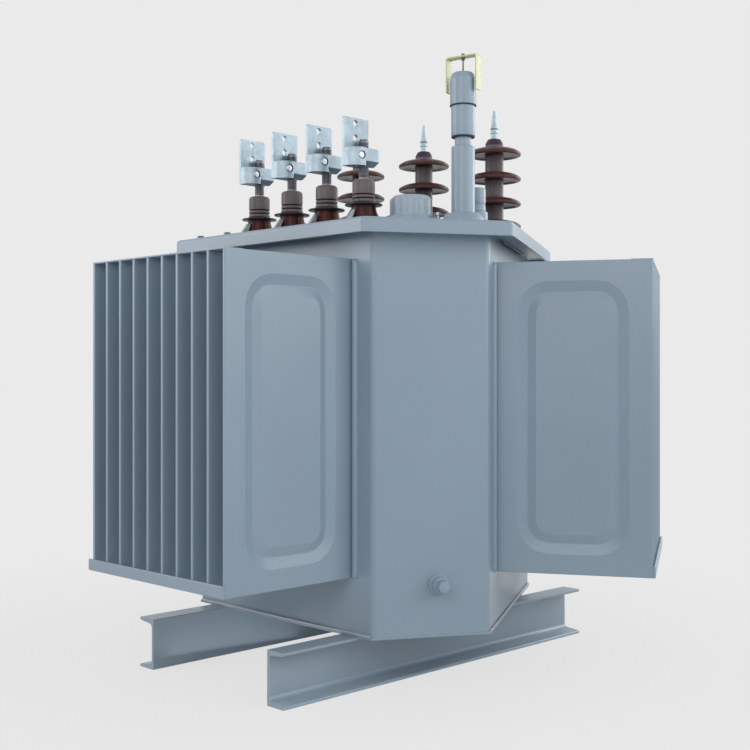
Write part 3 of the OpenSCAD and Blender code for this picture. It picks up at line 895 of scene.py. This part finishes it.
clamp_bolt = turned_bar(
    "clamp_bolt_pattern", sunk_bolt_r, -sunk_bolt_root, sunk_bolt_h, high_edge=sunk_bolt_edge, steps=32
)
bolt_place = Matrix.Translation((sunk_hole_x, sunk_bolt_y - sunk_bolt_play, sunk_bolt_z))
clamp_bolt.data.transform(bolt_place @ Matrix.Rotation(pi / 2, 4, "Y"))
for number in range(1, 5):
    stud_foot = footing("lv_stud_%d" % number)
    seat = Matrix.Translation((stud_foot.x, stud_foot.y, footing("lv_clamp_%d" % number).z))
    fit(
        copy_of(clamp, "flag_clamp_%d" % number, seat),
        tinned_metal, "tinned_metal", "lv_clamp_%d" % number, flat=True,
    )
    fit(copy_of(clamp_bolt, "clamp_bolt_%d" % number, seat), bright_zinc, "tinned_metal")
scrap(clamp, clamp_bolt)

# High-voltage bushings
# Three tall porcelain bushings with four domed sheds each, glazed grey on the column and brown on the sheds,
# under a dark domed cap. A tinned pin with a ring, a dark washer and a long point stands on each.
hv_column_r = 0.0193
hv_shed_r = 0.056
hv_dome_h = 0.0185
hv_rim_t = 0.0065
hv_hollow_h = 0.0045
hv_lip_w = 0.006
hv_lip_in = 0.014
hv_lip_h = 0.0025
hv_foot_r = 0.044
hv_foot_h = 0.012
hv_sheds_z = (0.0255, 0.0732, 0.126, 0.1785)
hv_cap_r = 0.0188
hv_cap_side = 0.008
hv_cap_top_r = 0.013536
hv_cap_top = 0.215
pin_r = 0.0072
pin_ring_r = 0.0082
pin_ring_t = 0.0035
pin_ring_edge = 0.0006
pin_stem_r = 0.0065
pin_stem_h = 0.012
pin_washer_r = 0.0085
pin_washer_t = 0.0016
pin_washer_z = 0.0208
pin_washer_edge = 0.0005
pin_tip_r = 0.0024
pin_tip_round = 0.0016
pin_top = 0.060

taupe, red_grey = shade(92, 86, 89), shade(80, 52, 52)
painted_cap_highlight, cap_dark, cap_top_dark = shade(112, 108, 120), shade(60, 53, 65), shade(68, 60, 74)
shed_reach = hv_shed_r - hv_column_r
dome_rise = hv_dome_h - hv_rim_t
hv_outline = [(0, 0), (hv_foot_r, 0, 0.002), (hv_foot_r, hv_foot_h, 0.003), (hv_column_r, hv_foot_h, 0.003)]
hv_bands = [(0, red_grey)]
for z in hv_sheds_z:
    rim_z = z + hv_rim_t
    hv_outline += [
        (hv_column_r, z + hv_hollow_h, 0.004), (hv_shed_r - hv_lip_in, z + hv_lip_h, 0.006),
        (hv_shed_r - hv_lip_w, z, 0.003), (hv_shed_r, z, 0.0028), (hv_shed_r, rim_z, 0.0030),
        (hv_column_r + 0.74 * shed_reach, rim_z + 0.55 * dome_rise, 0.030),
        (hv_column_r + 0.22 * shed_reach, rim_z + 0.92 * dome_rise, 0.010),
        (hv_column_r, z + hv_dome_h, 0.002),
    ]
    hv_bands += [
        (z - 0.5 * glaze_step, taupe), (z + 0.25 * glaze_step, red_grey),
        (z + hv_dome_h - glaze_step, red_grey), (z + hv_dome_h, taupe),
    ]
cap_z = hv_sheds_z[-1] + hv_dome_h
hv_outline[-1] = (hv_column_r, cap_z)
hv_outline += [
    (hv_cap_r, cap_z + 0.0015, 0.0005), (hv_cap_r, cap_z + hv_cap_side, 0.006),
    (hv_cap_top_r, hv_cap_top, 0.005), (0, hv_cap_top),
]
# The pale band at the foot of the cap is a painted highlight.
hv_bands[-1] = (cap_z, painted_cap_highlight)
hv_bands += [
    (cap_z + 1.5 * glaze_step, painted_cap_highlight), (cap_z + 2.25 * glaze_step, cap_dark), (hv_cap_top, cap_top_dark),
]
hv_bushing = turned("hv_bushing_pattern", hv_outline)
hv_glaze = glaze("hv_glaze", [(fittings_z + z, colour) for z, colour in hv_bands])

dark_brass = bright_metal("dark_brass", shade(90, 86, 92), shade(112, 107, 113), 0.34, 0.5)
ring_z = pin_stem_h + pin_ring_t
washer_z = pin_washer_z + pin_washer_t
hv_pin = turned("hv_pin_pattern", [
    (0, 0), (pin_stem_r, 0), (pin_stem_r, pin_stem_h), (pin_ring_r, pin_stem_h, pin_ring_edge),
    (pin_ring_r, ring_z, pin_ring_edge), (pin_stem_r, ring_z), (pin_stem_r, pin_washer_z),
    (pin_r, washer_z), (pin_tip_r, pin_top, pin_tip_round), (0, pin_top),
], steps=32)
pin_washer = turned_bar(
    "pin_washer_pattern", pin_washer_r, pin_washer_z, washer_z, pin_washer_edge, pin_washer_edge,
    steps=32, arc=3,
)

for number in range(1, 4):
    foot = footing("hv_bushing_%d" % number)
    fit(
        copy_of(hv_bushing, "hv_porcelain_%d" % number, Matrix.Translation(foot)),
        hv_glaze, "porcelain", "hv_bushing_%d" % number,
    )
    pin_seat = Matrix.Translation((foot.x, foot.y, footing("hv_terminal_%d" % number).z))
    fit(
        copy_of(hv_pin, "hv_pin_%d" % number, pin_seat),
        tinned_metal, "tinned_metal", "hv_terminal_%d" % number,
    )
    fit(copy_of(pin_washer, "hv_pin_washer_%d" % number, pin_seat), dark_brass, "stud_metal")
scrap(hv_bushing, hv_pin, pin_washer)

# Filler pipe and oil gauge
# A steel pipe on a sloped foot, with a gauge sleeve and a screwed grip cap over it, painted with the tank.
# Rubber rings seal sleeve and cap, and a zinc-plated stud with a nut stands on the lid beside the foot.
filler_foot_r = 0.0415
filler_foot_top_r = 0.033
filler_foot_h = 0.026
filler_shoulder = 0.012
filler_r = 0.0225
filler_top = 0.155
neck_r = 0.016
neck_h = 0.019
sleeve_r = 0.023
sleeve_ring_r = 0.0228
gauge_cap_r = 0.025
cap_ring_r = 0.0257
ring_t = 0.0026
ring_edge = 0.0011
ring_drop = 0.00234
gauge_top_r = 0.0185
gauge_shoulder = 0.013
gauge_top_slope = 0.003
cap_h = 0.062
grip_flutes = 24
grip_depth = 0.0007
grip_bottom = 0.006
grip_top = 0.045
side_bolt_x = -0.0364
side_bolt_y = -0.0315
side_collar_r = 0.006
side_collar_t = 0.002
side_stem_r = 0.004
side_stem_h = 0.023
side_washer_r = 0.0058
side_washer_z = 0.0245
side_edge = 0.0004
side_nut_r = 0.0056
side_nut_h = 0.0050
side_nut_chamfer = 0.0008

filler_x, filler_y, gauge_cap_z = footing("gauge_cap")
filler = turned("filler_pipe_turned", [
    (0, 0), (filler_foot_r, 0, 0.001), (filler_foot_r, filler_foot_h - filler_shoulder, 0.004),
    (filler_foot_top_r, filler_foot_h, 0.003), (filler_r, filler_foot_h, 0.004),
    (filler_r, filler_top, 0.003), (neck_r, filler_top, 0.001), (neck_r, filler_top + neck_h),
    (0, filler_top + neck_h),
], arc=5)
put(filler, filler_x, filler_y, fittings_z)
fit(filler, tank_paint, "tank_paint", "filler_pipe")

low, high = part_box("gauge_sleeve")
sleeve = turned_bar("gauge_sleeve_turned", sleeve_r, 0, high.z - low.z, low_edge=0.002, high_edge=0.0012)
put(sleeve, filler_x, filler_y, low.z)
fit(sleeve, tank_paint, "tank_paint", "gauge_sleeve")

gauge_cap = turned("gauge_cap_turned", [
    (0, 0), (gauge_cap_r, 0, 0.0008), (gauge_cap_r, grip_bottom), (gauge_cap_r, grip_top),
    (gauge_cap_r, cap_h - gauge_shoulder, 0.004),
    (gauge_top_r + gauge_top_slope, cap_h - gauge_top_slope, 0.004), (gauge_top_r, cap_h, 0.003), (0, cap_h),
], steps=4 * grip_flutes, arc=5)
for vertex in gauge_cap.data.vertices:
    spoke = round(atan2(vertex.co.y, vertex.co.x) / (2 * pi) * 4 * grip_flutes)
    if grip_bottom - near < vertex.co.z < grip_top + near and spoke % 4 == 0:
        vertex.co.xy *= 1 - grip_depth / gauge_cap_r
put(gauge_cap, filler_x, filler_y, gauge_cap_z)
fit(gauge_cap, tank_paint, "tank_paint", "gauge_cap")

for name, radius, seat_z in (
    ("sleeve_ring", sleeve_ring_r, low.z), ("cap_ring", cap_ring_r, gauge_cap_z),
):
    seal = turned_ring(name, neck_r, radius, ring_t, ring_edge, ring_edge)
    put(seal, filler_x, filler_y, seat_z - ring_drop)
    fit(seal, seal_rubber, None)

side_stud = turned("side_stud", [
    (0, 0), (side_collar_r, 0, side_edge), (side_collar_r, side_collar_t, side_edge),
    (side_stem_r, side_collar_t), (side_stem_r, side_stem_h), (side_washer_r, side_stem_h, side_edge),
    (side_washer_r, side_washer_z, side_edge), (0, side_washer_z),
], steps=24, arc=3)
side_nut = put(hex_head("side_nut", side_nut_r, side_nut_h, side_nut_chamfer), 0, 0, side_washer_z)
side_bolt = joined([side_stud, side_nut], "filler_side_bolt")
put(side_bolt, filler_x + side_bolt_x, filler_y + side_bolt_y, fittings_z)
fit(side_bolt, zinc_plate, "tinned_metal")

# Gauge rod and relief yoke
# A thin dark brass rod on the gauge cap, with a knob under the yoke and another on top of it.
# The yoke is bent from steel strip, drilled for the rod and painted a pale yellow.
rod_r = 0.0016
rod_root = 0.005
knob_r = 0.0036
knob_h = 0.005
knob_edge = 0.0006
yoke_span = 0.067
yoke_w = 0.018
yoke_t = 0.003
yoke_leg = 0.068
yoke_rise = 0.026
yoke_turn = 12
yoke_bend = 0.005
yoke_end_edge = 0.0008
yoke_edge = 0.0006
yoke_hole_r = 0.0018

rod_z = footing("gauge_rod").z
bar_z = yoke_rise + yoke_t
gauge_rod = turned("gauge_rod_turned", [
    (0, -rod_root), (rod_r, -rod_root), (rod_r, yoke_rise - knob_h, 0.0003),
    (knob_r, yoke_rise - knob_h, 0.0008), (knob_r, yoke_rise, knob_edge), (rod_r, yoke_rise), (rod_r, bar_z),
    (knob_r, bar_z, knob_edge), (knob_r, bar_z + knob_h, 0.0016), (0, bar_z + knob_h),
], steps=24)
put(gauge_rod, filler_x, filler_y, rod_z)
fit(gauge_rod, dark_brass, "stud_metal", "gauge_rod")

yellow_paint = sprayed_paint("yellow_paint", shade(184, 188, 134), shade(194, 198, 145))
half_span = yoke_span / 2
inner_span = half_span - yoke_t
inner_bend = yoke_bend - yoke_t
leg_z = bar_z - yoke_leg
yoke_outline = rounded([
    (-half_span, leg_z, yoke_end_edge), (-inner_span, leg_z, yoke_end_edge),
    (-inner_span, yoke_rise, inner_bend), (inner_span, yoke_rise, inner_bend),
    (inner_span, leg_z, yoke_end_edge), (half_span, leg_z, yoke_end_edge),
    (half_span, bar_z, yoke_bend), (-half_span, bar_z, yoke_bend),
])
yoke = cut_sheet("relief_yoke_bent", [(x, -yoke_w / 2, z) for x, z in yoke_outline])
thicken(yoke, (0, yoke_w, 0))
yoke_hole = rod("yoke_hole", yoke_hole_r, (0, 0, yoke_rise - yoke_t), (0, 0, bar_z + yoke_t), 20)
combine(yoke, yoke_hole, "DIFFERENCE")
ease_edges(yoke, yoke_edge, angle=50)
yoke.data.transform(Matrix.Rotation(radians(yoke_turn), 4, "Z"))
put(yoke, filler_x, filler_y, rod_z)
fit(yoke, yellow_paint, "yoke_paint", "relief_yoke", flat=True)

# Tap changer cap
# A casting with fourteen broad grip flutes cut down its side, its paint the tank's made paler.
# It sits in a turned base ring that is painted with the tank.
tap_r = 0.0415
tap_h = 0.0640
tap_bevel = 0.008
tap_flutes = 14
tap_flute_r = 0.007
tap_flute_depth = 0.0022
tap_flute_bottom = 0.027
tap_flute_turn = 30
tap_ring_bore = 0.0355
tap_ring_r = 0.051
tap_ring_t = 0.024

tap_foot = footing("tap_changer_cap")
tap_cap = turned("tap_cap_grooved", [
    (0, 0), (tap_r, 0, 0.001), (tap_r, tap_h - tap_bevel, 0.003), (tap_r - tap_bevel, tap_h, 0.003),
    (0, tap_h),
], steps=6 * tap_flutes)
flute_reach = tap_r + tap_flute_r - tap_flute_depth
for k in range(tap_flutes):
    angle = 2 * pi * k / tap_flutes - radians(tap_flute_turn)
    x, y = flute_reach * cos(angle), flute_reach * sin(angle)
    flute = rod("grip_flute", tap_flute_r, (x, y, tap_flute_bottom), (x, y, tap_h + tap_flute_depth), 40)
    combine(tap_cap, flute, "DIFFERENCE")
put(tap_cap, *tap_foot)
# The cap's paler paint is painted light that lifts the shade in its flutes and from the bushings beside it.
cap_painted_light = sprayed_paint("cap_painted_light", shade(148, 166, 179), shade(157, 175, 188))
fit(tap_cap, cap_painted_light, "tank_paint", "tap_changer_cap", angle=30)
tap_ring = turned_ring("tap_base_ring", tap_ring_bore, tap_ring_r, tap_ring_t, 0.001, 0.0015)
put(tap_ring, *tap_foot)
fit(tap_ring, tank_paint, "tank_paint")

# Thermometer pocket
# A turned steel stub behind the filler, with a wider foot welded to the lid and a screwed cap.
# A fine groove marks the joint of the cap, and the whole is painted with the tank.
pocket_foot_r = 0.0265
pocket_foot_h = 0.043
pocket_r = 0.0225
pocket_groove = 0.001
pocket_groove_low = 0.055
pocket_groove_high = 0.059

low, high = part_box("thermometer_pocket")
pocket_h = high.z - low.z
groove_floor = pocket_r - pocket_groove
pocket = turned("pocket_turned", [
    (0, 0), (pocket_foot_r, 0, 0.001), (pocket_foot_r, pocket_foot_h, 0.003),
    (pocket_r, pocket_foot_h, 0.002), (pocket_r, pocket_groove_low, 0.0005),
    (groove_floor, pocket_groove_low + pocket_groove, 0.0004),
    (groove_floor, pocket_groove_high - pocket_groove, 0.0004), (pocket_r, pocket_groove_high, 0.0005),
    (pocket_r, pocket_h, 0.003), (0, pocket_h),
])
put(pocket, *footing("thermometer_pocket"))
fit(pocket, tank_paint, "tank_paint", "thermometer_pocket")

# Drain
# A round boss welded to the front right corner face, with a socket and a hex plug screwed into it.
# All three are painted with the tank.
drain_boss_r = 0.0195
drain_boss_h = 0.008
drain_weld = 0.0015
drain_socket_r = 0.0157
drain_socket_h = 0.016
drain_plug_r = 0.012
drain_plug_h = 0.016
drain_plug_chamfer = 0.0018
drain_side = 0.012
drain_z = 0.199

drain_place = at_side(1, tank_corner, drain_side, drain_z) @ Matrix.Rotation(pi / 2, 4, "Y")
socket_end = drain_boss_h + drain_socket_h
drain = turned("drain_boss_turned", [
    (0, 0), (drain_boss_r + drain_weld, 0), (drain_boss_r, drain_weld, 0.0004),
    (drain_boss_r, drain_boss_h, 0.0015), (drain_socket_r, drain_boss_h, 0.0015),
    (drain_socket_r, socket_end, 0.0018), (0, socket_end),
])
drain.data.transform(drain_place)
fit(drain, tank_paint, "tank_paint", "drain_boss")

plug = put(hex_head("drain_plug_hex", drain_plug_r, drain_plug_h, drain_plug_chamfer), 0, 0, socket_end)
plug.data.transform(drain_place)
fit(plug, tank_paint, "tank_paint", "drain_plug")

# Studio
# A pale floor runs out into a pale background, with square lamps round the object and soft light in the air.
# A weak lamp lies on the floor under the tank, and the floor keeps the object's own soft shadow.
backdrop_shade = shade(234, 234, 234)
floor_colour = (0.72, 0.72, 0.72, 1)
floor_rough = 0.9
floor_gloss = 0.1
floor_half = 8.0
floor_z = -0.0004
fade_start = 0.3
fade_end = 1.9
shadow_lift = 0.84
air_colour = (0.41, 0.40, 0.41, 1)


def background_rays(tree):
    """One for the rays that show the background: the camera's, and those off metal or through glass."""
    rays = tree.nodes.new("ShaderNodeLightPath")
    shown = rays.outputs["Is Camera Ray"]
    for kind in ("Is Glossy Ray", "Is Transmission Ray"):
        either = tree.nodes.new("ShaderNodeMath")
        either.operation = "MAXIMUM"
        tree.links.new(shown, either.inputs[0])
        tree.links.new(rays.outputs[kind], either.inputs[1])
        shown = either.outputs["Value"]
    return shown


def blend(tree, share, lit, pale, output):
    """Shows the pale background by a share, and the lit surface or air for the rest."""
    mix = tree.nodes.new("ShaderNodeMixShader")
    tree.links.new(share, mix.inputs["Fac"])
    tree.links.new(lit, mix.inputs[1])
    tree.links.new(pale, mix.inputs[2])
    tree.links.new(mix.outputs["Shader"], tree.nodes[output].inputs["Surface"])


bpy.ops.mesh.primitive_grid_add(
    x_subdivisions=4, y_subdivisions=4, size=2 * floor_half, location=(0, 0, floor_z)
)
floor = bpy.context.object
floor.name = "studio_floor"
ground, surface, place = new_finish("studio_ground")
surface.inputs["Base Color"].default_value = floor_colour
surface.inputs["Roughness"].default_value = floor_rough
surface.inputs["Specular IOR Level"].default_value = floor_gloss
tree = ground.node_tree
glow = tree.nodes.new("ShaderNodeEmission")
glow.inputs["Color"].default_value = backdrop_shade
reach = tree.nodes.new("ShaderNodeVectorMath")
reach.operation = "LENGTH"
tree.links.new(place, reach.inputs[0])
fade = tree.nodes.new("ShaderNodeMapRange")
fade.interpolation_type = "SMOOTHSTEP"
fade.inputs["From Min"].default_value = fade_start
fade.inputs["From Max"].default_value = fade_end
fade.inputs["To Min"].default_value = shadow_lift
tree.links.new(reach.outputs["Value"], fade.inputs["Value"])
seen = tree.nodes.new("ShaderNodeMath")
seen.operation = "MULTIPLY"
tree.links.new(background_rays(tree), seen.inputs[0])
tree.links.new(fade.outputs["Result"], seen.inputs[1])
blend(tree, seen.outputs["Value"], surface.outputs["BSDF"], glow.outputs["Emission"], "Material Output")
floor.data.materials.append(ground)

world = bpy.data.worlds.new("studio_air")
bpy.context.scene.world = world
world.use_nodes = True
tree = world.node_tree
air = tree.nodes["Background"]
air.inputs["Color"].default_value = air_colour
air.inputs["Strength"].default_value = 1.0
pale = tree.nodes.new("ShaderNodeBackground")
pale.inputs["Color"].default_value = backdrop_shade
blend(tree, background_rays(tree), air.outputs["Background"], pale.outputs["Background"], "World Output")

for name, turn, away, lift, aim, size, power, colour in (
    ("left_lamp", -130, 2.8, 1.7, 0.6, 1.8, 31.0, (1.0, 0.96, 0.95)),
    ("front_lamp", -62, 2.8, 1.7, 0.6, 1.8, 21.0, (1.0, 0.97, 0.96)),
    ("corner_lamp", -12, 2.8, 1.7, 0.6, 1.8, 10.0, (1.0, 0.98, 0.97)),
    ("right_lamp", 24, 2.8, 1.6, 0.6, 1.8, 23.0, (1.0, 1.0, 1.0)),
    ("back_lamp", 72, 3.0, 1.7, 0.6, 1.8, 36.0, (1.0, 1.0, 1.0)),
    ("under_lamp", -90, 0.2, 0.012, 5.0, 0.34, 0.23, (1.0, 0.97, 0.97)),
):
    spot = (away * cos(radians(turn)), away * sin(radians(turn)), lift)
    bpy.ops.object.light_add(type="AREA", location=spot)
    lamp = bpy.context.object
    lamp.name = name
    lamp.visible_camera = False
    lamp.data.shape = "SQUARE"
    lamp.data.size = size
    lamp.data.energy = power
    lamp.data.color = colour
    lamp.rotation_euler = (Vector((0, 0, aim)) - lamp.location).to_track_quat("-Z", "Y").to_euler()

# Camera
# It stands at the front right of the object, level with the middle of the tank.
# Its place, turn and lens were fitted to the photo.
camera_place = (1.8067, -1.7537, 0.594)
camera_turn = 45.269
camera_lens = 56.844
camera_sensor = 36.0
camera_shift = -0.00475

bpy.ops.object.camera_add(location=camera_place, rotation=(radians(90), 0, radians(camera_turn)))
camera = bpy.context.object
camera.data.lens = camera_lens
camera.data.sensor_width = camera_sensor
camera.data.shift_y = camera_shift
bpy.context.scene.camera = camera
bpy.context.scene.view_settings.view_transform = "Standard"
